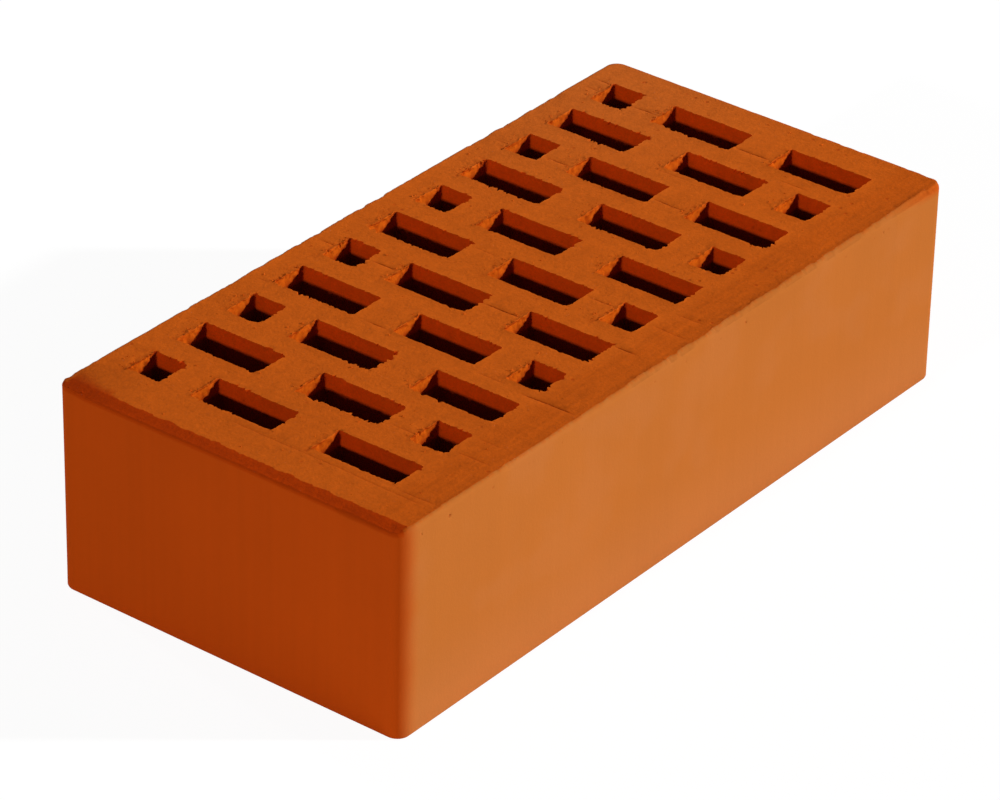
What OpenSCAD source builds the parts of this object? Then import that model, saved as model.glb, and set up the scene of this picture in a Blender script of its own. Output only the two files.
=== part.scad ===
// Perforated clay brick, lying on its bed.
// X runs along the stretcher face, Y across the header, Z up through the cores.
// The origin is the middle of the lower bed.

/* [Brick] */
// Length of the stretcher face
brick_length = 250; // [200:1:300]
// Width of the bed, along the header face
brick_width = 120; // [100:1:150]
// Height from the lower bed to the upper bed
brick_height = 65; // [40:1:140]

/* [Edges] */
// Radius of the four upright edges, left by the die
corner_radius = 4; // [3:0.5:8]
// Bevel around both beds
arris = 0.75; // [0.5:0.25:2.75]

/* [Cores] */
// Opening of every core along the brick
core_width = 12.5; // [8:0.5:16]
// Opening of a short core across the brick
short_core = 11.5; // [8:0.5:16]
// Radius in the corners of every core
core_radius = 0.75; // [0.5:0.25:3]

/* [Webs and walls] */
// Web between two neighbouring rows of cores
row_web = 8.25; // [5:0.25:14]
// Web between the short core of a row and the long core beside it
short_web = 11; // [7:0.5:14]
// Web between the two long cores of a row
long_web = 14; // [7:0.5:16]
// Wall behind the stretcher face that shows, at -Y
face_wall = 17; // [8:0.5:24]
// Wall behind the other stretcher face, at +Y
back_wall = 9.5; // [8:0.5:24]
// Wall behind the header face that shows, at -X
near_wall = 17.5; // [8:0.5:30]
// Least wall behind the other header face, at +X
far_wall = 11; // [8:0.5:30]

/* [Hidden] */
$fn = 64;

// How far a core's cutter runs past each bed
overrun = 1;

row_pitch = core_width + row_web;
row_count = floor((brick_length - near_wall - far_wall + row_web) / row_pitch);
first_row = near_wall + (core_width - brick_length) / 2;

// The two long cores of a row share what the walls, the webs and the short core leave of the width
row_span = brick_width - face_wall - back_wall;
row_middle = (face_wall - back_wall) / 2;
long_core = (row_span - short_core - short_web - long_web) / 2;

// Places of the three cores across the row, from its middle
short_place = (row_span - short_core) / 2;
inner_place = short_place - short_core / 2 - short_web - long_core / 2;
outer_place = (long_core - row_span) / 2;

// Half of an upright section through the brick, from its axis out to a face
function half_section(reach) = [
    [0, 0],
    [reach - arris, 0],
    [reach, arris],
    [reach, brick_height - arris],
    [reach - arris, brick_height],
    [0, brick_height],
];

// The whole section, with both of its faces
function whole_section(reach) =
    let (side = [for (p = half_section(reach)) if (p.x > 0) p])
    concat(side, [for (i = [len(side) - 1:-1:0]) [-side[i].x, side[i].y]]);

// A bar along Y, reaching out to a bevelled face on either side
module bar(reach, length) {
    rotate([90, 0, 0])
        linear_extrude(height = length, center = true)
            polygon(whole_section(reach));
}

// The solid block: two crossed bars, and a turned post in each of the four corners
module block() {
    along = brick_length / 2 - corner_radius;
    across = brick_width / 2 - corner_radius;
    bar(brick_length / 2, 2 * across);
    rotate([0, 0, 90])
        bar(brick_width / 2, 2 * along);
    for (x = [-along, along], y = [-across, across])
        translate([x, y, 0])
            rotate_extrude()
                polygon(half_section(corner_radius));
}

// Outline of one core, with round corners
module core_outline(length) {
    x = core_width / 2 - core_radius;
    y = length / 2 - core_radius;
    square([2 * x, length], center = true);
    square([core_width, 2 * y], center = true);
    for (sx = [-x, x], sy = [-y, y])
        translate([sx, sy])
            circle(r = core_radius);
}

// One row of cores; side is 1 where its short core is toward +Y, and -1 toward -Y
module core_row(side) {
    translate([0, side * short_place])
        core_outline(short_core);
    for (place = [inner_place, outer_place])
        translate([0, side * place])
            core_outline(long_core);
}

// All the cores; every second row is turned round, so that the webs are staggered
module cores() {
    translate([0, 0, -overrun])
        linear_extrude(height = brick_height + 2 * overrun)
            for (i = [0:row_count - 1])
                translate([first_row + i * row_pitch, row_middle])
                    core_row(i % 2 == 0 ? 1 : -1);
}

module brick() {
    color("chocolate")
        difference() {
            block();
            cores();
        }
}

brick();
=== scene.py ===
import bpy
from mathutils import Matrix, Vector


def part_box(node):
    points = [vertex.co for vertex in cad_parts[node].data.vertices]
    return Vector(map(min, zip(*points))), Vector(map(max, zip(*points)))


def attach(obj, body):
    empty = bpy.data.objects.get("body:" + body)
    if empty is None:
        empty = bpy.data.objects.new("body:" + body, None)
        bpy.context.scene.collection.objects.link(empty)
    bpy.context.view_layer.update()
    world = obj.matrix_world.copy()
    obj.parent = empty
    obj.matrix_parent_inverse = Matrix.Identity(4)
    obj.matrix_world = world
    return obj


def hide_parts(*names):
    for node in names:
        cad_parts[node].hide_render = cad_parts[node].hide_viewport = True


bl_info = {
    "name": "Perforated clay brick",
    "version": (1, 0, 0),
    "blender": (4, 5, 0),
    "location": "View3D > Sidebar > Brick",
    "description": "Gives a perforated clay brick its wire-cut beds, torn core rims and fired finish",
    "category": "Add Mesh",
}

import math

import bmesh
import bpy
import numpy as np
from mathutils import Matrix, Vector, noise
from mathutils.geometry import delaunay_2d_cdt

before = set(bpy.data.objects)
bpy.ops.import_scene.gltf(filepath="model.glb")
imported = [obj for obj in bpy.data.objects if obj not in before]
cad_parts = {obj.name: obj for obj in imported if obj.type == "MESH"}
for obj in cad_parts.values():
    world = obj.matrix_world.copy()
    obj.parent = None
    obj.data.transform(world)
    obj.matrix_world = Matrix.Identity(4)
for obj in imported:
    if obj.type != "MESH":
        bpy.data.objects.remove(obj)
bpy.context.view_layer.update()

NODE = "brick"
BODY = "root"
MM = 0.001
MERGE = 1e-6

# Drag lines that the cutting wire left on the upper bed: place along the brick, then the stretch
# across it, in millimetres from the corner of the near header and the stretcher face that shows, and
# the share of the full depth
DRAG_LINES = (
    (15.0, 5, 72, 0.4),
    (17.4, 2, 16, 0.5),
    (40.7, 66, 71, 0.6),
    (41.6, 3, 16, 0.5),
    (41.6, 28, 38, 0.5),
    (50.6, 6, 16, 0.4),
    (76.6, 2, 22, 0.9),
    (77.6, 26, 38, 0.5),
    (79.3, 111, 117, 0.6),
    (79.9, 69, 78, 0.8),
    (107.0, 110, 118, 0.8),
    (107.4, 88, 99, 1.0),
    (108.4, 45, 60, 1.0),
    (112.6, 8, 18, 1.0),
    (128.4, 3, 17, 0.5),
    (130.2, 28, 40, 0.6),
    (131.6, 71, 82, 0.4),
    (138.0, 4, 15, 0.5),
    (147.4, 108, 115, 0.6),
    (187.0, 110, 118, 0.5),
    (187.2, 45, 60, 0.8),
    (187.4, 88, 99, 0.8),
    (202.6, 57, 70, 0.4),
    (220.0, 27, 38, 0.6),
    (228.3, 46, 60, 0.9),
    (229.6, 88, 99, 0.8),
    (231.0, 109, 118, 0.6),
    (236.6, 108, 118, 0.8),
)

# Dents in the upper arris: the side's outward direction, the stretch along that side in millimetres
# from the same corner, and the depth
ARRIS_DENTS = (
    ((0, 1), 178, 189, 0.35),
    ((0, 1), 193, 205, 0.5),
    ((0, 1), 207, 223, 0.4),
    ((0, 1), 60, 74, 0.3),
    ((0, -1), 116, 127, 0.3),
)


def length_property(name, description, millimetres):
    """A length that a user may change."""
    return bpy.props.FloatProperty(
        name=name, description=description, default=millimetres * MM, unit="LENGTH")


def colour_property(name, description, red, green, blue):
    """A colour that a user may change."""
    return bpy.props.FloatVectorProperty(
        name=name, description=description, default=(red, green, blue, 1.0), size=4, min=0.0, max=1.0,
        subtype="COLOR")


class BrickSizes(bpy.types.PropertyGroup):
    """Sizes of the brick's cut edges and worn surface"""

    rim_step: length_property("Rim step", "Spacing of the points along a rim", 0.32)
    bed_step: length_property("Bed step", "Spacing of the points on a bed", 2.2)
    collar: length_property("Collar", "Width of the strip of bed that follows each rim", 1.4)
    chip: length_property("Rim chip", "Largest chip out of a core's rim", 0.8)
    lip: length_property("Torn lip", "Farthest that a torn lip hangs into a core", 0.7)
    first_lip: length_property(
        "First lip", "Lip drawn over the near rims of the row next to the near header", 0.9)
    chip_depth: length_property("Chip depth", "How far down a core's wall its chips reach", 2.0)
    lip_depth: length_property("Lip depth", "How thick a torn lip is", 0.7)
    wall_ridge: length_property(
        "Wall ridges", "Height of the ridges that the die left down the core walls", 0.06)
    arris_chip: length_property("Arris chip", "Largest chip out of the upper arris", 0.6)
    arris_wear: length_property(
        "Arris wear", "Wear along the upper arris of the stretcher face that shows", 0.6)
    slope_reach: length_property(
        "Slope reach", "Width of the pressed slope of the bed along the near header", 4.25)
    slope_drop: length_property("Slope drop", "How far that slope falls", 1.3)
    # Painted shade: the near header's shaded colour reaches this far round its upright edges
    header_wrap: length_property(
        "Header wrap", "How far the near header's colour reaches round its edges", 8.0)
    groove_width: length_property("Drag line width", "Width of a drag line", 0.7)
    groove_depth: length_property("Drag line depth", "Depth of a drag line", 0.25)
    tear: length_property("Tear", "Height of the torn skin beyond the far end of a core", 0.3)
    bed_wave: length_property("Bed wave", "Height of the waves on a bed", 0.18)
    face_wave: length_property("Face wave", "Height of the waves on the upright faces", 0.15)
    seed: bpy.props.IntProperty(name="Seed", description="Seed of the chips and waves", default=7)


class CrumbSizes(bpy.types.PropertyGroup):
    """Sizes of the fired crumbs on the upper bed"""

    density: bpy.props.FloatProperty(
        name="Density", description="Crumbs on a square metre where they lie thickest", default=6.0e5)
    smallest: length_property("Smallest", "Smallest crumb radius", 0.10)
    largest: length_property("Largest", "Largest crumb radius", 0.42)
    seed: bpy.props.IntProperty(name="Seed", description="Seed of the crumbs' places", default=3)


class ClayColours(bpy.types.PropertyGroup):
    """Colours of the fired clay"""

    face: colour_property("Stretcher", "Smooth long faces", 0.518, 0.150, 0.025)
    blush: colour_property("Blush", "Pinker patches of the long faces", 0.525, 0.163, 0.038)
    # Painted shade: the header colour is the clay as it looks in shade, redder and deeper than the faces
    header: colour_property("Header", "Smooth end faces", 0.565, 0.070, 0.003)
    bed: colour_property("Bed", "Wire-cut beds and ends of the cores", 0.648, 0.118, 0.0075)
    # Painted shade: the core colour is the clay as it looks in shade, redder than the bed, laid on the
    # cores' walls outside the lit part of their far ends
    core: colour_property("Core", "Long walls of the cores", 0.575, 0.050, 0.001)
    # Smear and painted light: the torn colour, near the bed's, lies only on the part of each core's far
    # end that the key lamp lights
    torn: colour_property("Torn", "Smeared tops of the cores' ends", 0.615, 0.105, 0.003)
    arris: colour_property("Arris", "Smeared upper edge of the headers", 0.475, 0.043, 0.0002)
    band: colour_property("Band", "Streaked strip of bed along the stretcher face", 0.560, 0.088, 0.003)
    dust: colour_property("Dust", "Paler bed toward the far back corner", 0.628, 0.142, 0.020)


class StageSettings(bpy.types.PropertyGroup):
    """Camera, lamps and floor"""

    eye: bpy.props.FloatVectorProperty(
        name="Eye", description="Place of the camera", default=(-1.0021, -0.7636, 0.7751), unit="LENGTH")
    aim: bpy.props.FloatVectorProperty(
        name="Aim", description="Point in the middle of the picture", default=(0.0064, 0.0099, 0.0187),
        unit="LENGTH")
    roll: bpy.props.FloatProperty(
        name="Roll", description="Tilt of the camera about its own axis", default=math.radians(1.26),
        unit="ROTATION")
    lens: bpy.props.FloatProperty(
        name="Lens", description="Focal length in millimetres on a 36 mm wide sensor", default=186.1)
    key: bpy.props.FloatProperty(
        name="Key lamp", description="Strength of the lamp on the stretcher face", default=3.37)
    fill: bpy.props.FloatProperty(
        name="Fill lamp", description="Strength of the lamp on the header", default=1.0)
    back: bpy.props.FloatProperty(
        name="Back lamp", description="Strength of the lamp behind the brick", default=0.63)
    lamp_width: bpy.props.FloatProperty(
        name="Lamp width", description="Width of the lamps as seen from the brick",
        default=math.radians(2.0), unit="ROTATION")
    ambient: bpy.props.FloatProperty(
        name="Ambient", description="Strength of the even light from all round", default=0.12)
    floor_colour: colour_property("Floor", "Pale floor", 0.90, 0.90, 0.90)


class Wire:
    """A node's output, on which arithmetic adds Math nodes."""

    def __init__(self, graph, socket):
        self.graph = graph
        self.socket = socket

    def __add__(self, other):
        return self.graph.maths("ADD", self, other)

    def __radd__(self, other):
        return self.graph.maths("ADD", other, self)

    def __sub__(self, other):
        return self.graph.maths("SUBTRACT", self, other)

    def __rsub__(self, other):
        return self.graph.maths("SUBTRACT", other, self)

    def __mul__(self, other):
        return self.graph.maths("MULTIPLY", self, other)

    def __rmul__(self, other):
        return self.graph.maths("MULTIPLY", other, self)


class Graph:
    """A node tree under construction, for shaders and for geometry."""

    def __init__(self, tree):
        self.tree = tree

    def add(self, kind, settings=None, sockets=None, out=0):
        """Adds a node: its settings first, then the values or links of its sockets."""
        made = self.tree.nodes.new(kind)
        for name, value in (settings or {}).items():
            setattr(made, name, value)
        for name, value in (sockets or {}).items():
            self.feed(made.inputs[name], value)
        return Wire(self, made.outputs[out]) if made.outputs else None

    def feed(self, socket, value):
        """Links a wire to a socket, or sets the socket's own value."""
        if isinstance(value, Wire):
            self.tree.links.new(value.socket, socket)
        else:
            socket.default_value = value

    def ramp(self, value, low, high):
        """0 below low, 1 above high and a smooth rise between them."""
        return self.add("ShaderNodeMapRange", {"interpolation_type": "SMOOTHSTEP"}, {
            "Value": value, "From Min": low, "From Max": high})

    def mix(self, share, first, second):
        """One colour turning into another as share goes from 0 to 1."""
        return self.add("ShaderNodeMix", {"data_type": "RGBA", "clamp_factor": True}, {
            0: share, 6: first, 7: second}, out=2)

    def scaled(self, colour, share):
        """A colour made darker or lighter."""
        return self.add("ShaderNodeVectorMath", {"operation": "SCALE"}, {0: colour, "Scale": share})

    def stretched(self, place, scale):
        """Coordinates scaled on each axis by itself."""
        return self.add("ShaderNodeMapping", None, {"Vector": place, "Scale": scale})

    def cloud(self, place, scale, detail=2.0, roughness=0.5):
        """Soft noise between 0 and 1."""
        return self.add("ShaderNodeTexNoise", None, {
            "Vector": place, "Scale": scale, "Detail": detail, "Roughness": roughness})

    def dots(self, place, scale):
        """Distance from the nearest of many scattered points, in cells."""
        return self.add("ShaderNodeTexVoronoi", {"feature": "F1"}, {"Vector": place, "Scale": scale})

    def maths(self, operation, first, second):
        """Two values put together by a Math node."""
        return self.add("ShaderNodeMath", {"operation": operation}, {0: first, 1: second})

    def mark(self, name):
        """A value that the mesh carries at its points."""
        return self.add("ShaderNodeAttribute", {"attribute_name": name}, out=2)

    def axes(self, place):
        """The three coordinates of a place."""
        apart = self.add("ShaderNodeSeparateXYZ", None, {0: place})
        return [Wire(self, socket) for socket in apart.socket.node.outputs]


def empty_graph(owner):
    """The graph of a new material or world, without nodes."""
    owner.use_nodes = True
    owner.node_tree.nodes.clear()
    return Graph(owner.node_tree)


# Streaks to the metre along X, Y and Z: those of the die run up the faces, those of the wire across the
# beds, and those of the edge along the strip of bed beside the stretcher face that shows
DIE_LINES = (330.0, 330.0, 9.0)
WIRE_LINES = (420.0, 14.0, 9.0)
EDGE_LINES = (22.0, 520.0, 9.0)

# Height of the clay's grain, as the bump shows it
GRAIN_HEIGHT = 0.4 * MM


class ClayShader:
    """Patterns of fired clay, of which its colour, tone and relief are mixed."""

    def __init__(self, graph, low, high):
        self.graph = graph
        place = graph.add("ShaderNodeTexCoord", out=3)
        self.along, across, self.up = graph.axes(place)

        # Among the marks that the mesh carries, some paint shade in grooves, pits and deep in the cores,
        # and light on the lit part of the cores' far ends
        self.bed = graph.mark("bed")
        self.core = graph.mark("core")
        self.header = graph.mark("header")
        self.arris = graph.mark("arris")
        self.groove = graph.mark("groove")
        self.deep = graph.mark("deep")
        self.smear = graph.mark("smear")
        self.face = 1.0 - self.bed
        self.off_core = 1.0 - self.core

        self.blotch = graph.cloud(place, 26.0, 3.0, 0.55)
        self.patch = graph.ramp(graph.cloud(place, 55.0), 0.42, 0.68)
        self.grain = graph.cloud(place, 1100.0, 3.0, 0.65)
        self.mottle = graph.cloud(place, 330.0, 2.0, 0.6)
        self.pits = graph.ramp(graph.dots(place, 420.0), 0.10, 0.35)
        speck = 1.0 - graph.ramp(graph.dots(place, 260.0), 0.06, 0.2)
        self.specks = speck * graph.ramp(graph.cloud(place, 70.0, 1.0), 0.54, 0.66) * self.bed

        die_lines = graph.cloud(graph.stretched(place, DIE_LINES), 1.0)
        wire_lines = graph.cloud(graph.stretched(place, WIRE_LINES), 1.0)
        self.lines = graph.add(
            "ShaderNodeMix", {"data_type": "FLOAT"}, {0: self.bed, 2: die_lines, 3: wire_lines})
        self.edge_lines = graph.cloud(graph.stretched(place, EDGE_LINES), 1.0, 3.0, 0.6)

        # The strip of bed beside the stretcher face that shows has a wavering border
        waver = (graph.cloud(place, 60.0) - 0.5) * (12 * MM)
        strip = 1.0 - graph.ramp(across + waver, low.y + 10 * MM, low.y + 17 * MM)
        self.strip = strip * self.bed * self.off_core

        # Parts of the faces and the bed that are darker or paler than the rest
        self.foot = 1.0 - graph.ramp(self.up, low.z, low.z + 32 * MM)
        near = 1.0 - graph.ramp(self.along, low.x, low.x + 27 * MM)
        self.near_back = near * graph.ramp(across, high.y - 26 * MM, high.y) * self.bed
        self.near_end = (1.0 - graph.ramp(self.along, low.x, low.x + 95 * MM)) * self.bed
        far = graph.ramp(self.along, high.x - 125 * MM, high.x)
        self.far_back = far * graph.ramp(across, high.y - 90 * MM, high.y) * self.bed

    def colour(self, colours):
        """The clay's colours, laid over one another by their shares."""
        blush = self.graph.maths("MAXIMUM", self.patch * 0.45, self.foot * 0.9) * (1.0 - self.header)
        layers = (
            (self.header, colours.header),
            (blush, colours.blush),
            (self.bed, colours.bed),
            (self.far_back * 0.7 * self.off_core, colours.dust),
            (self.strip * 0.4, colours.band),
            (self.near_end * 0.15 * self.off_core, colours.band),
            # Smear and painted light on the lit part of the cores' far ends
            (self.smear * 0.85, colours.torn),
            (self.specks * 0.5, colours.core),
            # Painted shade: grooves, pits and shadow lines take the core's redder colour
            (self.graph.maths("MAXIMUM", self.core, self.groove * 0.7), colours.core),
            (self.arris, colours.arris),
        )
        mixed = colours.face
        for share, over in layers:
            mixed = self.graph.mix(share, mixed, over)
        return mixed

    def tone(self):
        """How light the clay is: patterns added up, then darker and lighter places, among them painted
        shade and painted light.
        """
        tone = 0.87 + self.blotch * 0.12
        tone = tone + self.lines * (0.04 + 0.06 * self.header + 0.02 * self.bed)
        tone = tone + self.grain * (0.04 + 0.3 * self.bed)
        tone = tone + (self.mottle - 0.85) * 0.34 * self.bed
        tone = tone + (self.edge_lines - 0.5) * 0.4 * self.strip - 0.32 * self.near_back
        tone = tone * (1.0 - 0.15 * self.specks)
        # Painted shade: grooves, pits, the line under the cores' far rims and the crest of the front
        # arris are darkened, and so are the cores' walls below their lit band
        tone = tone * (1.0 - 0.42 * self.groove) * (1.0 - 0.8 * self.deep)
        tone = tone * (1.0 + self.along * 0.33 * self.bed)
        # Painted light: the header is lighter toward the bottom and darker toward the top, standing in
        # for light from the floor
        tone = tone * (1.0 + (0.06 - self.up * 1.6) * self.header * self.face)

        # Painted shade: the clay is darker where the header's colour fades out round the upright edge
        fading = self.header * self.header * (1.0 - self.header)
        return tone * (1.0 - 0.88 * fading * self.face)

    def relief(self):
        """The fine relief, in shares of the grain's height."""
        relief = self.grain * (0.25 + 0.6 * self.bed)
        relief = relief + self.lines * (0.15 + 0.1 * self.bed)
        relief = relief + self.pits * 0.25 * self.bed
        return relief + self.edge_lines * 0.35 * self.strip - self.specks * 0.5


def clay_material(colours, box):
    """Fired clay: smooth faces, wire-cut beds, cores darkened by painted shade, and drag lines."""
    material = bpy.data.materials.new("fired_clay")
    graph = empty_graph(material)
    clay = ClayShader(graph, *box)
    bump = graph.add("ShaderNodeBump", None, {
        "Strength": 0.5,
        "Distance": GRAIN_HEIGHT,
        "Height": clay.relief(),
    })
    shader = graph.add("ShaderNodeBsdfPrincipled", None, {
        "Base Color": graph.scaled(clay.colour(colours), clay.tone()),
        "Roughness": 0.78 + clay.grain * 0.14,
        "Specular IOR Level": 0.03,
        "Normal": bump,
    })
    graph.add("ShaderNodeOutputMaterial", None, {"Surface": shader})
    return material


def bed_outlines(node):
    """Closed outlines of the upper bed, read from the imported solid: the outer one, then every core."""
    solid = bmesh.new()
    solid.from_mesh(node.data)
    bmesh.ops.remove_doubles(solid, verts=solid.verts, dist=MERGE)
    top = max(v.co.z for v in solid.verts)
    bed = {f for f in solid.faces if all(top - v.co.z < MERGE for v in f.verts)}
    rim = [e for e in solid.edges if sum(f in bed for f in e.link_faces) == 1]
    beside = {}
    for edge in rim:
        for v in edge.verts:
            beside.setdefault(v, []).append(edge.other_vert(v))
    outlines = []
    while beside:
        first, (following, _) = next(iter(beside.items()))
        chain = [first]
        before = first
        while following is not first:
            chain.append(following)
            step = [v for v in beside[following] if v is not before]
            before, following = following, step[0]
        for v in chain:
            del beside[v]
        outlines.append(np.array([v.co.xy for v in chain]))
    solid.free()
    outlines.sort(key=len_around, reverse=True)
    return [oriented(outlines[0], 1), *(oriented(o, -1) for o in outlines[1:])]


def len_around(outline):
    """Length of a closed outline."""
    return np.linalg.norm(np.roll(outline, -1, 0) - outline, axis=1).sum()


def oriented(outline, sense):
    """The outline, running anticlockwise for sense 1 and clockwise for sense -1."""
    after = np.roll(outline, -1, 0)
    area = (outline[:, 0] * after[:, 1] - after[:, 0] * outline[:, 1]).sum()
    return outline if area * sense > 0 else outline[::-1]


def resampled(outline, step):
    """An even number of points, about step apart, along a closed outline."""
    closed = np.vstack([outline, outline[:1]])
    reached = np.concatenate([[0.0], np.cumsum(np.linalg.norm(np.diff(closed, axis=0), axis=1))])
    count = 2 * round(reached[-1] / step / 2)
    at = np.arange(count) * reached[-1] / count
    return np.stack([np.interp(at, reached, closed[:, i]) for i in (0, 1)], axis=1)


def into_clay(points):
    """Unit directions from an outline into the clay beside it."""
    ahead = np.roll(points, -1, 0) - np.roll(points, 1, 0)
    ahead /= np.linalg.norm(ahead, axis=1)[:, None]
    return np.stack([-ahead[:, 1], ahead[:, 0]], axis=1)


class Rim:
    """A closed outline of a bed, sampled evenly, with the side of it on which clay lies."""

    def __init__(self, outline, step, rng):
        self.points = resampled(outline, step)
        self.clay = into_clay(self.points)
        self.step = step
        self.rng = rng

    def ripple(self, reach):
        """Smooth noise along the rim, with bumps about as long as reach."""
        count = len(self.points)
        knots = max(3, round(count * self.step / reach))
        values = self.rng.standard_normal(knots)
        at = np.arange(count) * knots / count
        low = np.floor(at).astype(int)
        share = at - low
        share = share * share * (3 - 2 * share)
        return values[low % knots] * (1 - share) + values[(low + 1) % knots] * share

    def teeth(self, reach, floor):
        """Noise that is 0 over most of the rim and rises in short teeth."""
        return np.clip(self.ripple(reach) - floor, 0, 1.6)

    def toward(self, x, y):
        """How squarely the clay beside each point lies in a direction."""
        return np.clip(self.clay @ (x, y), 0, 1)


def drop_off(depth, reach):
    """1 at the surface, falling to 0 at the depth that a chip or lip reaches."""
    return max(0.0, 1.0 - depth / reach) ** 1.4


class Skin:
    """A mesh under construction, with the values that its points carry."""

    SHARP_FROM = math.radians(38)
    MARKS = ("bed", "core", "deep", "smear", "header", "arris", "groove", "litter")

    def __init__(self):
        self.points = []
        self.faces = []
        self.marks = {name: [] for name in self.MARKS}

    def add(self, points, **marks):
        """Adds points, and returns their numbers."""
        first = len(self.points)
        self.points.extend(map(tuple, points))
        for name in self.MARKS:
            value = marks.get(name, 0.0)
            self.marks[name].extend(np.broadcast_to(value, len(points)))
        return np.arange(first, len(self.points))

    def band(self, upper, lower):
        """Joins two closed rings; the lower one may have half as many points."""
        count = len(upper)
        after = np.roll(upper, -1)
        if len(lower) == count:
            self.faces.extend(zip(upper, lower, np.roll(lower, -1), after))
            return
        for i, low in enumerate(lower):
            first, middle, last = (upper[(2 * i + k) % count] for k in range(3))
            following = lower[(i + 1) % len(lower)]
            self.faces.append((first, low, middle))
            self.faces.append((middle, low, following))
            self.faces.append((middle, following, last))

    def made(self, name):
        """The finished object."""
        mesh = bpy.data.meshes.new(name)
        mesh.from_pydata(self.points, [], [tuple(map(int, f)) for f in self.faces])
        for mark, values in self.marks.items():
            layer = mesh.attributes.new(mark, "FLOAT", "POINT")
            layer.data.foreach_set("value", np.array(values, np.float32))
        mesh.polygons.foreach_set("use_smooth", [True] * len(mesh.polygons))
        mesh.set_sharp_from_angle(angle=self.SHARP_FROM)
        mesh.validate()
        obj = bpy.data.objects.new(name, mesh)
        bpy.context.scene.collection.objects.link(obj)
        return obj


# Depths between which a core's wall is painted dark as shade, and above which its far end is rough, in
# millimetres
SHADE_TOP = 4.2
SHADE_FULL = 5.1
ROUGH_ABOVE = 4.0

# Rings of points round a core's wall: millimetres below the upper bed, with the step between the rim
# points that each takes, then millimetres above the lower bed
CORE_RINGS = (
    (0.0, 1),
    (0.3, 1),
    (0.7, 1),
    (1.3, 2),
    (2.2, 2),
    (SHADE_TOP, 2),
    (SHADE_FULL, 2),
)
FOOT_RINGS = (5.0, 1.6, 0.6, 0.0)

# Cores whose middle lies nearer to the near header than this are in the first row
FIRST_ROW = 30 * MM

# Cores longer than this are more worn where their middle lies nearer to the back than this
LONG_CORE = 20 * MM
BACK_ROW = 35 * MM

# How far down a core's end its smear and painted light reach, for each millimetre from the core's far
# side, which follows the slope of the key lamp's shadow line there
SMEAR_SLOPE = 0.6

# Lengths along a core's rim: stretches that are worn or hung with lips alike, then what is torn out of
# the rim and what hangs over it
WORN_STRETCH = 8 * MM
HUNG_STRETCH = 7 * MM
NICK = 0.65 * MM
RAG = 1.3 * MM
BITE = 1.2 * MM
GOUGE = 2.6 * MM
TATTER = 1.1 * MM
THREAD = 0.5 * MM

# Reach of the notch in a core's far corner, and of the clay tucked into its near corner
NOTCH_REACH = 0.7 * MM
TUCK_REACH = 1.7 * MM

# Lengths along a core's rim of the die's ridges, of the cracks with their painted shadow and the bumps
# of its far end, and of the streaks in its smear and painted light, and the height of the bumps
RIDGE = 1.5 * MM
CRACK = 2.5 * MM
BUMP = 1.0 * MM
STREAK = 0.9 * MM
BUMP_HEIGHT = 0.15 * MM


def torn_rim(rim, wear, sizes):
    """Chips out of a core's rim and lips that hang over it."""
    near_side = rim.toward(-1, 0)
    far_side = rim.toward(1, 0)
    near_end = rim.toward(0, -1)
    far_end = rim.toward(0, 1)
    patchy = np.clip(0.7 + 0.5 * rim.ripple(WORN_STRETCH), 0.2, 1.4) * wear
    nicks = rim.teeth(NICK, 0.1) * (0.45 + 0.45 * far_side + 0.1 * near_end)
    rags = rim.teeth(RAG, 0.2) * (0.2 * far_side + 0.45 * near_end)
    bites = 0.7 * rim.teeth(BITE, 1.0) + 0.7 * rim.teeth(GOUGE, 1.4)
    far_tip = np.linalg.norm(rim.points - rim.points.max(0), axis=1)
    near_tip = np.linalg.norm(rim.points - rim.points.min(0), axis=1)
    spike = np.exp(-(far_tip / NOTCH_REACH) ** 2) * rim.rng.uniform(0.2, 1.4)
    chip = sizes.chip * np.clip((nicks + rags + bites) * patchy + spike, 0, 1.4)
    hang = rim.teeth(TATTER, 0.2) + 0.7 * rim.teeth(THREAD, 0.3)
    hang *= np.clip(rim.ripple(HUNG_STRETCH) - 0.2, 0, 1.0)
    tuck = np.exp(-(near_tip / TUCK_REACH) ** 2) * rim.rng.uniform(0.3, 1.5)
    lip = sizes.lip * np.clip(hang * patchy * (0.1 + near_side + 0.4 * far_end) + tuck, 0, 1.5)
    return chip, lip


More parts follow.
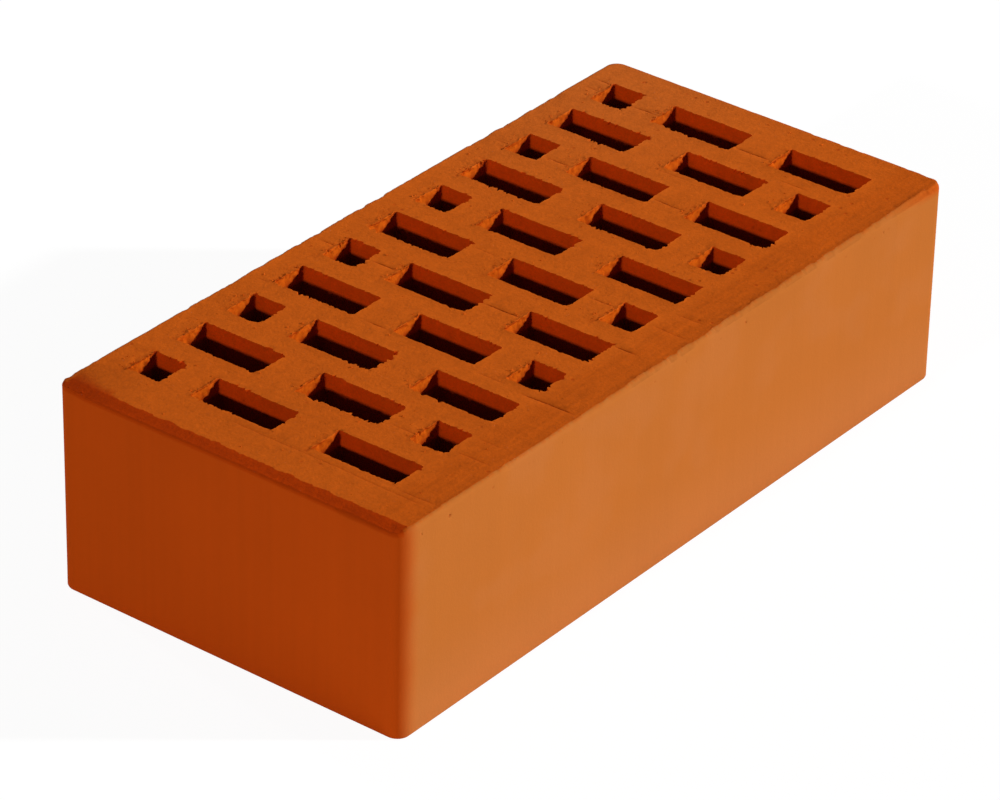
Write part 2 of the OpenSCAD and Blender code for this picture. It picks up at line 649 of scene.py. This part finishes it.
def core_wall(skin, rim, sizes, low, high):
    """Adds the wall of one core, with torn rims, and returns its upper and lower rims."""
    points, clay = rim.points, rim.clay
    height = high.z - low.z
    far_end = rim.toward(0, 1)
    in_back_row = high.y - points[:, 1].mean() < BACK_ROW and np.ptp(points[:, 1]) > LONG_CORE
    wear = rim.rng.uniform(0.6, 1.0) + 0.5 * in_back_row
    wall = rim.ripple(RIDGE) * sizes.wall_ridge
    chip, lip = torn_rim(rim, wear, sizes)
    in_first_row = points[:, 0].mean() - low.x < FIRST_ROW
    upper = (chip, lip + in_first_row * sizes.first_lip * rim.toward(-1, 0))
    lower = torn_rim(rim, 0.7, sizes)
    # Cracks and painted shadow: a dark line just under the rim of the far end, where the lip's shadow
    # falls
    crack_and_shadow = far_end * np.clip(rim.ripple(CRACK) + 0.4, 0, 1)
    from_far = (points[:, 0].max() - points[:, 0]) / MM
    rings = []
    foot = [(height / MM - above, 2) for above in FOOT_RINGS]
    for depth, step in (*CORE_RINGS, *foot):
        down = depth * MM
        under = height - down
        out = wall + far_end * BUMP_HEIGHT * rim.ripple(BUMP) * (depth < ROUGH_ABOVE)
        for (chip, lip), gone in ((upper, down), (lower, under)):
            out = out + chip * drop_off(gone, sizes.chip_depth) - lip * drop_off(gone, sizes.lip_depth)
        z = np.full(len(points), under)
        on_wall = 1.0
        if down == 0:
            z -= 0.25 * upper[0] + 0.2 * upper[1]
            on_wall = 0.0
        if under <= MERGE:
            z += 0.25 * lower[0] + 0.2 * lower[1]
            on_wall = 0.0
        shape = np.column_stack([points + clay * out[:, None], z])
        # Smear and painted light: the lit patch covers the part of the far end that the key lamp lights,
        # bounded by its shadow line
        smear = on_wall * far_end ** 2 * np.clip(from_far - depth / SMEAR_SLOPE, 0, 1)
        # Painted shade: the wall darkens below the band that the fill lamp lights, and the far end
        # darkens outside the part that the key lamp lights
        dark = np.clip((depth - SHADE_TOP) / (SHADE_FULL - SHADE_TOP), 0, 1)
        shade = np.maximum(dark, 0.65 * far_end ** 2)
        streak = np.clip(0.05 + 0.35 * rim.ripple(STREAK), 0, 0.8) * smear
        marks = {
            "bed": 1.0,
            "core": (on_wall - smear)[::step],
            "deep": (shade * (on_wall - smear))[::step],
            "smear": smear[::step],
            "groove": np.maximum(crack_and_shadow * (depth == CORE_RINGS[1][0]), streak)[::step],
        }
        rings.append(skin.add(shape[::step], **marks))
    for above, below in zip(rings, rings[1:]):
        skin.band(above, below)
    return rings[0], rings[-1]


# Width of the bed that a dent presses down, and widths beside the back over which the slope along the
# near header rises and its smear turns soft
DENT_REACH = 4 * MM
SLOPE_RISE = 10 * MM
SOFT_BACK = 18 * MM


def dents_at(places, low, high):
    """How far the upper arris is pressed down at places on the upper bed."""
    sag = np.zeros(len(places))
    for (dx, dy), start, stop, depth in ARRIS_DENTS:
        along, across = (0, 1) if dy else (1, 0)
        at = (places[:, along] - low[along]) / MM
        border = places[:, across] - low[across]
        if dx + dy > 0:
            border = high[across] - places[:, across]
        share = np.clip((at - start) / (stop - start), 0, 1)
        fade = np.clip(1 - border / DENT_REACH, 0, 1) ** 1.5
        sag += np.clip(2.5 * np.sin(math.pi * share), 0, 1) * fade * depth * MM
    return sag


def crease_at(across, sizes):
    """How far from the near header the bed starts to slope down, at places across the brick."""
    slow = np.array([noise.noise(Vector((0, y * 240, 0))) for y in across])
    quick = np.array([noise.noise(Vector((7, y * 900, 0))) for y in across])
    return sizes.slope_reach * (1 + 0.18 * (slow + 0.6 * quick))


def pressed_at(places, low, high, sizes):
    """How far the bed slopes down beside the near header, and how smeared it is there."""
    inward = places[:, 0] - low.x
    from_back = high.y - places[:, 1]
    crease = crease_at(places[:, 1], sizes)
    off_middle = np.abs(2 * from_back / (high.y - low.y) - 1)
    level = np.clip(from_back / SLOPE_RISE, 0, 1) * (0.7 + 0.3 * off_middle)
    drop = sizes.slope_drop * level * np.clip(1 - inward / crease, 0, 1)
    soft = 0.3 * MM + np.clip(SOFT_BACK - from_back, 0, None) * 0.4
    return drop, np.clip(1 + (crease - inward) / soft, 0, 1)


# Rings of points round the arris and the top of the faces: millimetres below the arris, then how far
# its chips and the pressed slope still show there
ARRIS_RINGS = (
    (0.35, 0.15, 1.0),
    (0.9, 0.0, 0.8),
    (2.5, 0.0, 0.2),
    (3.0, 0.0, 0.1),
)

# Rings of points below those, in millimetres below the arris, and then in shares of the height
FACE_RINGS = (3.5, 4.6)
FACE_SHARES = (0.15, 0.3, 0.5, 0.7, 0.9)

# How frayed the upper arris is on each side, by the side's outward direction
FRAY = (((0, -1), 1.1), ((-1, 0), 0.5), ((0, 1), 0.6), ((1, 0), 0.4))

# Length over which the wear of the front arris grows, the stretch of it that is rubbed bare at the far
# corner, how far down in millimetres, and the depth of the pits under it
WEAR_RISE = 70 * MM
BARE_CORNER = 28 * MM
BARE_DEPTH = 2.2
PIT_DEPTH = 0.3 * MM


def arris_chips(rim, front, sizes, low):
    """Chips out of the upper arris, and the wear along the stretcher face that shows."""
    fray = sum(share * rim.toward(-dx, -dy) ** 2 for (dx, dy), share in FRAY)
    teeth = 0.2 * rim.teeth(0.9 * MM, 0.0)
    teeth = teeth + 0.4 * rim.teeth(1.8 * MM, 0.2)
    teeth = teeth + 0.9 * rim.teeth(4.0 * MM, 0.6)
    worn = np.clip(0.8 + 0.5 * rim.ripple(20 * MM), 0.2, 1.6)
    chip = sizes.arris_chip * fray * np.clip(teeth * worn, 0, 1.6)
    rubbed = np.clip(1.0 + 0.35 * rim.ripple(9 * MM) + 0.2 * rim.ripple(3 * MM), 0.2, 2.0)
    rubbed = np.clip((rim.points[:, 0] - low.x) / WEAR_RISE, 0.5, 1.0) * rubbed
    return np.minimum(chip + sizes.arris_wear * front * rubbed, 0.8 * sizes.collar)


def outer_wall(skin, rim, sizes, low, high):
    """Adds the arrises and the upright faces, and returns the edges of the upper and the lower bed."""
    points, clay = rim.points, rim.clay
    arris = points[:, 0].min() - low.x
    height = high.z - low.z
    near = np.clip(clay[:, 0], 0, 1) ** 2
    # Painted shade: the shaded header colour lies on the near header and round its upright edges, fading
    # out, and a quarter of it on the far header
    fade = (sizes.header_wrap - points[:, 0] + low.x) / (sizes.header_wrap - 1.5 * MM)
    header = np.clip(fade, 0, 1) ** 1.3 + 0.25 * np.clip(-clay[:, 0], 0, 1) ** 2
    front = rim.toward(0, 1) ** 2
    chip = arris_chips(rim, front, sizes, low)
    dent = dents_at(points, low, high) * np.clip(1.0 + 0.35 * rim.ripple(2 * MM), 0.4, 1.6)
    drop, smear = pressed_at(points, low, high, sizes)
    sag = dent + drop
    smear = smear * (near > 0.3)
    pit = rim.teeth(0.9 * MM, 1.3) * front * np.clip(rim.ripple(15 * MM) + 0.4, 0, 1)
    ragged = np.clip(0.4 + 0.7 * rim.ripple(0.8 * MM), 0, 1) * (1 - near)
    far_corner = np.clip((points[:, 0] - high.x) / BARE_CORNER + 1, 0, 1) * front

    def ring(down, out, notch=0.0, press=0.0):
        flat = points - clay * (out - chip * notch)[:, None]
        return np.column_stack([flat, high.z - down - sag * press])

    def waved(ring_points):
        for p, side in zip(ring_points, clay):
            p[:2] += side * abs(noise.noise(Vector(p) * 28.0)) * sizes.face_wave
        return ring_points

    rings = []
    edge = np.maximum(0.25 * ragged, far_corner)
    bends = ((0.0, 1.0, 1.0), (0.12, 1.0, edge), (0.5, 0.95, edge), (1.0, 0.7, far_corner))
    for turn, notch, bed in bends:
        angle = turn * math.pi / 2
        shape = ring((1 - math.cos(angle)) * arris, math.sin(angle) * arris, notch, 1.0)
        # Painted shade: a dark line along the crest of the front arris, and darker bed colour further
        # round its bend
        shade = (0.15 * (1 - turn) ** 4 + 0.4 * turn * bed) * front
        smeared = smear * (1 - 0.4 * turn)
        rings.append(skin.add(shape, bed=bed, header=header, arris=smeared, groove=shade))
    for below, notch, press in ARRIS_RINGS:
        shape = ring(arris + below * MM, arris, notch, press)
        bare = np.clip(far_corner - below / BARE_DEPTH, 0, 1)
        last = below == ARRIS_RINGS[-1][0]
        if last:
            shape[:, :2] += clay * (pit * PIT_DEPTH)[:, None]
        # Painted shade darkens the pits below the front arris. The bare far corner is also darker.
        rings.append(skin.add(
            waved(shape),
            bed=bare,
            header=header,
            arris=smear * max(0.0, 0.6 - below),
            groove=np.clip(pit, 0, 0.25) * last + 0.5 * bare,
        ))
    for down in [arris + b * MM for b in FACE_RINGS] + [s * height for s in FACE_SHARES]:
        shape = waved(ring(down, arris))
        rings.append(skin.add(shape[::2], header=header[::2]))
    for turn in (1.0, 0.5, 0.0):
        angle = turn * math.pi / 2
        shape = ring(height - (1 - math.cos(angle)) * arris, math.sin(angle) * arris)
        rings.append(skin.add(shape[::2], header=header[::2], bed=float(turn == 0)))
    for upper, lower in zip(rings, rings[1:]):
        skin.band(upper, lower)
    return rings[0], rings[-1]


# Spacing of the points along a drag line, along the crease and along a collar
LINE_STEP = 0.8 * MM
CREASE_STEP = 0.5 * MM
COLLAR_STEP = 1.0 * MM

# Room kept between a bed's fine points and its rims and other lines, and round the points of its grid
FINE_GAP = 0.45 * MM
CREASE_GAP = 0.3 * MM
GRID_GAP = 0.9 * MM
COLLAR_GAP = 0.7 * MM


def gap_to_core(places, core):
    """How far places lie outside a core's box."""
    low, high = core.min(0), core.max(0)
    beyond = np.maximum(low - places, places - high)
    return beyond.max(1)


def drag_lines(low, cores, rng, sizes):
    """Middle and side points of the drag lines, with the depth of each, which also sets their painted
    shade.
    """
    rows = []
    for x, start, stop, full in DRAG_LINES:
        y = np.arange(start, stop, LINE_STEP / MM) * MM + low.y
        bend = np.cumsum(rng.normal(0, 0.05, len(y))) * MM
        middle = np.column_stack([x * MM + low.x + bend, y])
        ends = np.minimum(1, np.minimum(np.arange(len(y)), np.arange(len(y))[::-1]) / 4)
        deep = full * ends * rng.uniform(0.75, 1.0, len(y))
        for side, share in ((0, 1), (-1, 0), (1, 0)):
            flat = middle + np.array([side * sizes.groove_width / 2, 0])
            rows.append(np.column_stack([flat, share * deep]))
    rows = np.vstack(rows)
    clear = np.min([gap_to_core(rows[:, :2], c) for c in cores], axis=0)
    return rows[clear > FINE_GAP]


def torn_strips(cores, rng, step):
    """Places on the bed just beyond the far end of every core, with a torn height between -1 and 1."""
    rows = []
    for core in cores:
        low, high = core.min(0), core.max(0)
        xs = np.arange(low[0] - 0.5 * MM, high[0] + 0.5 * MM, step)
        ys = np.arange(high[1] + 0.6 * MM, high[1] + rng.uniform(1.8, 3.2) * MM, step)
        places = np.stack(np.meshgrid(xs, ys), axis=-1).reshape(-1, 2)
        places = places + rng.uniform(-0.25, 0.25, places.shape) * step
        fade = 1 - (places[:, 1] - high[1]) / (4.0 * MM)
        torn = np.clip(rng.normal(-0.2, 0.5, len(places)), -1, 1)
        rows.append(np.column_stack([places, fade * torn]))
    return np.vstack(rows)


def crease_points(low, high, sizes):
    """Places along the crease where the bed starts to slope down, in two lines close together."""
    y = np.arange(low.y + 1.8 * MM, high.y - 3.0 * MM, CREASE_STEP)
    x = low.x + crease_at(y, sizes)
    return np.vstack([np.column_stack([x + gap, y, 0 * y]) for gap in (0.0, CREASE_GAP)])


def apart_from(places, others, gap):
    """Which places lie further than gap from all the others, along X or Y."""
    if not len(others):
        return np.ones(len(places), bool)
    return np.array([np.abs(others[:, :2] - p).max(1).min() for p in places]) > gap


def litter_at(places, cores):
    """How thickly crumbs lie: most of all beside the far ends of the cores."""
    total = np.full(len(places), 0.01)
    for core in cores:
        low, high = core.min(0), core.max(0)
        beyond = gap_to_core(places, core)
        aside = np.clip(np.abs(places[:, 0] - (low[0] + high[0]) / 2) - 4 * MM, 0, 1)
        end = np.hypot(aside, places[:, 1] - high[1] - 1.0 * MM)
        total += np.exp(-(end / (1.6 * MM)) ** 2) + 0.12 * np.exp(-(beyond / (1.2 * MM)) ** 2)
    return np.clip(total, 0, 1)


def fill_bed(skin, rings, outlines, inside, upward):
    """Covers a bed between its outer edge and the rims of its cores."""
    flat = [Vector(p) for p in np.vstack([*outlines, inside["flat"]])]
    added = skin.add(inside["points"], **inside["marks"])
    numbers = np.concatenate([*rings, added])
    owner = [np.full(len(outline), i) for i, outline in enumerate(outlines)]
    owner = np.concatenate([*owner, np.full(len(added), -1)])
    sides = []
    first = 0
    for outline in outlines:
        ring = np.arange(first, first + len(outline))
        sides.extend(zip(ring.tolist(), np.roll(ring, -1).tolist()))
        first += len(outline)
    _, _, faces, origin, _, _ = delaunay_2d_cdt(flat, sides, [], 0, 1e-9)
    for face in faces:
        corners = [origin[i][0] for i in face]
        owners = {owner[i] for i in corners}
        if len(owners) == 1 and owners.pop() > 0:
            continue
        a, b, c = (flat[i] for i in corners)
        if ((b - a).cross(c - a) > 0) != upward:
            corners.reverse()
        skin.faces.append(tuple(numbers[i] for i in corners))


def bed_points(edge, cores, rng, sizes, step, detail, box, lift):
    """Points inside a bed: a collar along every rim, drag lines and tears, and a loose grid between."""
    z = box[1].z if lift > 0 else box[0].z
    around = [resampled(o, COLLAR_STEP) for o in [edge, *cores]]
    around = np.vstack([p + into_clay(p) * sizes.collar for p in around])
    low, high = edge.min(0), edge.max(0)
    xs = np.arange(low[0], high[0], step)
    ys = np.arange(low[1], high[1], step)
    grid = np.stack(np.meshgrid(xs, ys), axis=-1).reshape(-1, 2)
    grid = grid + rng.uniform(-0.3, 0.3, grid.shape) * step
    room = np.min([gap_to_core(grid, c) for c in cores], axis=0)
    border = np.minimum(grid - low, high - grid).min(1)
    grid = grid[np.minimum(room, border) > sizes.collar + COLLAR_GAP]
    lines, tears, crease = detail
    tears = tears[apart_from(tears[:, :2], lines, FINE_GAP)]
    crease = crease[apart_from(crease[:, :2], lines, CREASE_GAP)]
    fine = np.vstack([lines, tears, crease])
    around = around[apart_from(around, fine, FINE_GAP)]
    grid = grid[apart_from(grid, fine, GRID_GAP)]
    flat = np.vstack([around, grid, fine[:, :2]])
    level = np.zeros(len(around) + len(grid))
    groove = np.concatenate([level, lines[:, 2], 0 * tears[:, 2], crease[:, 2]])
    torn = np.concatenate([level, 0 * lines[:, 2], tears[:, 2], crease[:, 2]])
    wave = np.array([noise.noise(Vector((p[0], p[1], z)) * 60.0) for p in flat])
    height = z + lift * (sizes.bed_wave * (wave - 1) + torn * sizes.tear - groove * sizes.groove_depth)
    # Painted shade: the drag lines and the dips of the torn skin are darkened
    marks = {"bed": 1.0, "groove": np.maximum(groove, np.clip(-torn - 0.35, 0, 1))}
    if lift > 0:
        drop, marks["arris"] = pressed_at(flat, *box, sizes)
        height = np.minimum(height, z) - dents_at(flat, *box) - drop
        marks["litter"] = litter_at(flat, cores)
    return {"flat": flat, "points": np.column_stack([flat, height]), "marks": marks}


class BRICK_OT_body(bpy.types.Operator):
    """Make the brick, with its beds, core walls and worn edges"""

    bl_idname = "brick.body"
    bl_label = "Brick"

    def execute(self, context):
        sizes = context.scene.brick_sizes
        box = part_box(NODE)
        low, high = box
        rng = np.random.default_rng(sizes.seed)
        rims = [Rim(o, sizes.rim_step, rng) for o in bed_outlines(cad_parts[NODE])]
        skin = Skin()
        ends = [outer_wall(skin, rims[0], sizes, low, high)]
        ends += [core_wall(skin, rim, sizes, low, high) for rim in rims[1:]]
        outlines = [rim.points for rim in rims]
        detail = (
            drag_lines(low, outlines[1:], rng, sizes),
            torn_strips(outlines[1:], rng, LINE_STEP),
            crease_points(low, high, sizes),
        )
        above = bed_points(outlines[0], outlines[1:], rng, sizes, sizes.bed_step, detail, box, 1)
        fill_bed(skin, [e[0] for e in ends], outlines, above, True)
        halves = [o[::2] for o in outlines]
        plain = [np.zeros((0, 3))] * 3
        below = bed_points(halves[0], halves[1:], rng, sizes, 2 * sizes.bed_step, plain, box, -1)
        fill_bed(skin, [e[1] for e in ends], halves, below, False)
        brick = skin.made("fired_brick")
        brick.data.materials.append(clay_material(context.scene.clay_colours, box))
        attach(brick, BODY)
        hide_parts(NODE)
        return {"FINISHED"}


# Inputs of the crumbs' node group, each set from the size of the same name
CRUMB_INPUTS = {
    "Density": "NodeSocketFloat",
    "Smallest": "NodeSocketFloat",
    "Largest": "NodeSocketFloat",
    "Seed": "NodeSocketInt",
}


def crumb_tree(material):
    """Geometry nodes that scatter crumbs over a bed."""
    tree = bpy.data.node_groups.new("Fired crumbs", "GeometryNodeTree")
    face = tree.interface
    face.new_socket("Bed", in_out="INPUT", socket_type="NodeSocketGeometry")
    for name, kind in CRUMB_INPUTS.items():
        face.new_socket(name, in_out="INPUT", socket_type=kind)
    face.new_socket("Crumbs", in_out="OUTPUT", socket_type="NodeSocketGeometry")
    graph = Graph(tree)
    start = graph.add("NodeGroupInput")
    given = {s.name: Wire(graph, s) for s in start.socket.node.outputs}
    litter = graph.add("GeometryNodeInputNamedAttribute", {"data_type": "FLOAT"}, {"Name": "litter"})
    spread = graph.add("GeometryNodeDistributePointsOnFaces", {"distribute_method": "RANDOM"}, {
        "Mesh": given["Bed"],
        "Density": litter * given["Density"],
        "Seed": given["Seed"],
    })
    ball = graph.add("GeometryNodeMeshIcoSphere", None, {"Radius": 1.0, "Subdivisions": 1})
    squeeze = graph.add("FunctionNodeRandomValue", {"data_type": "FLOAT_VECTOR"}, {
        0: (-0.3, -0.3, -0.3), 1: (0.3, 0.3, 0.3), "Seed": 11})
    lump = graph.add("GeometryNodeSetPosition", None, {"Geometry": ball, "Offset": squeeze})
    turn = graph.add("FunctionNodeRandomValue", {"data_type": "FLOAT_VECTOR"}, {
        0: (0.0, 0.0, 0.0), 1: (math.tau, math.tau, math.tau), "Seed": 5})
    pick = graph.add("FunctionNodeRandomValue", {"data_type": "FLOAT"}, {
        2: 0.0, 3: 1.0, "Seed": given["Seed"]}, out=1)
    size = given["Smallest"] + pick * pick * pick * (given["Largest"] - given["Smallest"])
    placed = graph.add("GeometryNodeInstanceOnPoints", None, {
        "Points": spread, "Instance": lump, "Rotation": turn, "Scale": size})
    real = graph.add("GeometryNodeRealizeInstances", None, {"Geometry": placed})
    painted = graph.add("GeometryNodeSetMaterial", None, {"Geometry": real, "Material": material})
    graph.add("NodeGroupOutput", None, {"Crumbs": painted})
    return tree


class BRICK_OT_crumbs(bpy.types.Operator):
    """Scatter fired crumbs beside the rims of the cores"""

    bl_idname = "brick.crumbs"
    bl_label = "Crumbs"

    def execute(self, context):
        sizes = context.scene.crumb_sizes
        brick = bpy.data.objects["fired_brick"]
        bed = bpy.data.objects.new("crumb_bed", brick.data.copy())
        context.scene.collection.objects.link(bed)
        tree = crumb_tree(brick.data.materials[0])
        modifier = bed.modifiers.new("Crumbs", "NODES")
        modifier.node_group = tree
        for item in tree.interface.items_tree:
            if item.name in CRUMB_INPUTS:
                modifier[item.identifier] = getattr(sizes, item.name.lower())
        seen = bed.evaluated_get(context.evaluated_depsgraph_get())
        mesh = bpy.data.meshes.new_from_object(seen)
        bpy.data.objects.remove(bed)
        if not mesh.polygons:
            raise RuntimeError("no crumbs were made")
        marks = mesh.attributes.get("bed") or mesh.attributes.new("bed", "FLOAT", "POINT")
        marks.data.foreach_set("value", np.ones(len(mesh.vertices), np.float32))
        mesh.name = "crumbs"
        crumbs = bpy.data.objects.new("crumbs", mesh)
        context.scene.collection.objects.link(crumbs)
        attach(crumbs, BODY)
        return {"FINISHED"}


WHITE = (1.0, 1.0, 1.0, 1.0)

# How brightly the floor's white glows, and its share of what the camera sees of the floor
FLOOR_GLOW = 1.06
FLOOR_WHITE = 0.88

# Half of the floor's side, and the width of the camera's sensor in millimetres
FLOOR_REACH = 6.0
SENSOR = 36.0

# Directions of the lamps from the brick
LAMPS = {
    "key": (0.58, -0.70, 0.35),
    "fill": (-0.93, 0.02, 0.38),
    "back": (0.15, 0.94, 0.30),
}


def white_to_camera(graph, shader, share):
    """Mixes plain white into a shader for rays that the camera or a gloss sends out."""
    path = graph.add("ShaderNodeLightPath").socket.node.outputs
    seen = Wire(graph, path["Is Camera Ray"]) + Wire(graph, path["Is Glossy Ray"])
    seen = seen + Wire(graph, path["Is Transmission Ray"])
    return graph.add("ShaderNodeMixShader", None, {
        0: graph.ramp(seen, 0.0, 1.0) * share, 1: shader[0], 2: shader[1]})


def floor_material(colour):
    """Pale floor that reads white and keeps the shadow."""
    material = bpy.data.materials.new("pale_floor")
    graph = empty_graph(material)
    matt = graph.add("ShaderNodeBsdfDiffuse", None, {"Color": colour})
    white = graph.add("ShaderNodeEmission", None, {"Color": WHITE, "Strength": FLOOR_GLOW})
    seen = white_to_camera(graph, (matt, white), FLOOR_WHITE)
    graph.add("ShaderNodeOutputMaterial", None, {"Surface": seen})
    return material


def set_world(scene, strength):
    """Even light all round, white where the camera sees it."""
    world = bpy.data.worlds.new("studio")
    scene.world = world
    graph = empty_graph(world)
    dim = graph.add("ShaderNodeBackground", None, {"Color": WHITE, "Strength": strength})
    white = graph.add("ShaderNodeBackground", None, {"Color": WHITE, "Strength": 1.0})
    graph.add("ShaderNodeOutputWorld", None, {"Surface": white_to_camera(graph, (dim, white), 1.0)})


def add_lamp(scene, name, toward, strength, width):
    """A distant lamp in a direction from the brick, as wide as an angle in the sky."""
    lamp = bpy.data.lights.new(name, "SUN")
    lamp.energy = strength
    lamp.angle = width
    obj = bpy.data.objects.new(name, lamp)
    obj.location = Vector(toward).normalized()
    obj.rotation_euler = obj.location.to_track_quat("Z", "Y").to_euler()
    scene.collection.objects.link(obj)


def add_camera(scene, stage):
    """The camera, at its place and turned to its aim."""
    camera = bpy.data.cameras.new("camera")
    camera.sensor_width = SENSOR
    camera.lens = stage.lens
    viewer = bpy.data.objects.new("camera", camera)
    look = (Vector(stage.aim) - Vector(stage.eye)).to_track_quat("-Z", "Y").to_matrix()
    turn = look @ Matrix.Rotation(stage.roll, 3, "Z")
    viewer.location = stage.eye
    viewer.rotation_euler = turn.to_euler()
    scene.collection.objects.link(viewer)
    scene.camera = viewer


def add_floor(scene, colour):
    """A wide square floor under the brick."""
    mesh = bpy.data.meshes.new("floor")
    corners = [(FLOOR_REACH * x, FLOOR_REACH * y, 0) for x, y in ((-1, -1), (1, -1), (1, 1), (-1, 1))]
    mesh.from_pydata(corners, [], [(0, 1, 2, 3)])
    mesh.materials.append(floor_material(colour))
    floor = bpy.data.objects.new("floor", mesh)
    scene.collection.objects.link(floor)
    return floor


class BRICK_OT_stage(bpy.types.Operator):
    """Set the camera, the lamps, the floor and the background"""

    bl_idname = "brick.stage"
    bl_label = "Stage"

    def execute(self, context):
        scene = context.scene
        stage = scene.stage_settings
        add_camera(scene, stage)
        for name, toward in LAMPS.items():
            add_lamp(scene, name + "_lamp", toward, getattr(stage, name), stage.lamp_width)
        set_world(scene, stage.ambient)
        floor = add_floor(scene, stage.floor_colour)
        scene.view_settings.view_transform = "Standard"
        return {"FINISHED"}


class BRICK_PT_panel(bpy.types.Panel):
    """Lists the steps that build the brick"""

    bl_idname = "BRICK_PT_panel"
    bl_label = "Clay brick"
    bl_space_type = "VIEW_3D"
    bl_region_type = "UI"
    bl_category = "Brick"

    def draw(self, context):
        for step in (BRICK_OT_body, BRICK_OT_crumbs, BRICK_OT_stage):
            self.layout.operator(step.bl_idname)
        for group in GROUPS:
            box = self.layout.box()
            settings = getattr(context.scene, group)
            for name in settings.__annotations__:
                box.prop(settings, name)


GROUPS = {
    "brick_sizes": BrickSizes,
    "crumb_sizes": CrumbSizes,
    "clay_colours": ClayColours,
    "stage_settings": StageSettings,
}
CLASSES = (*GROUPS.values(), BRICK_OT_body, BRICK_OT_crumbs, BRICK_OT_stage, BRICK_PT_panel)


def register():
    for cls in CLASSES:
        bpy.utils.register_class(cls)
    for name, group in GROUPS.items():
        setattr(bpy.types.Scene, name, bpy.props.PointerProperty(type=group))


def unregister():
    for name in GROUPS:
        delattr(bpy.types.Scene, name)
    for cls in reversed(CLASSES):
        bpy.utils.unregister_class(cls)


def main():
    register()
    bpy.ops.brick.body()
    bpy.ops.brick.crumbs()
    bpy.ops.brick.stage()


if __name__ == "__main__":
    main()
